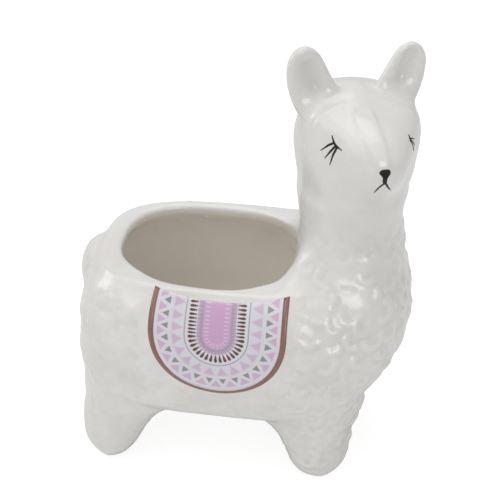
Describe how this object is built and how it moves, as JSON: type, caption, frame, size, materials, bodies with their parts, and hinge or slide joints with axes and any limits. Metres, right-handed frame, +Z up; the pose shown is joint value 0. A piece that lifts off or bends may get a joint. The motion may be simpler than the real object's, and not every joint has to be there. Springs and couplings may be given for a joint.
{
  "type": "plant pot",
  "caption": "Glazed ceramic plant pot shaped as a standing llama, with a rounded planting well in its back, short legs, a head turned aside and a printed saddle blanket.",
  "frame": {"origin": "on the table, under the middle of the pot's outline", "axes": "+X towards the chest, +Y to the pot's left, +Z up"},
  "size_m": [0.141, 0.091, 0.1952],
  "materials": {
    "glaze": "gloss off-white glaze on white earthenware",
    "transfer_brown": "brown printed transfer under a gloss glaze",
    "transfer_white": "white printed transfer under a gloss glaze",
    "transfer_lilac": "lilac printed transfer under a gloss glaze",
    "painted_black": "black brush strokes under a gloss glaze"
  },
  "bodies": {
    "root": {"body_shell": "glaze", "neck": "glaze", "head": "glaze", "left_ear": "glaze", "right_ear": "glaze", "tail": "glaze", "front_left_leg": "glaze", "front_right_leg": "glaze", "rear_left_leg": "glaze", "rear_right_leg": "glaze", "blanket_border_left": "transfer_brown", "blanket_field_left": "transfer_white", "blanket_centre_left": "transfer_lilac", "blanket_border_right": "transfer_brown", "blanket_field_right": "transfer_white", "blanket_centre_right": "transfer_lilac", "lashes_left": "painted_black", "lashes_right": "painted_black", "nose": "painted_black", "mouth": "painted_black"}
  },
  "joints": []
}
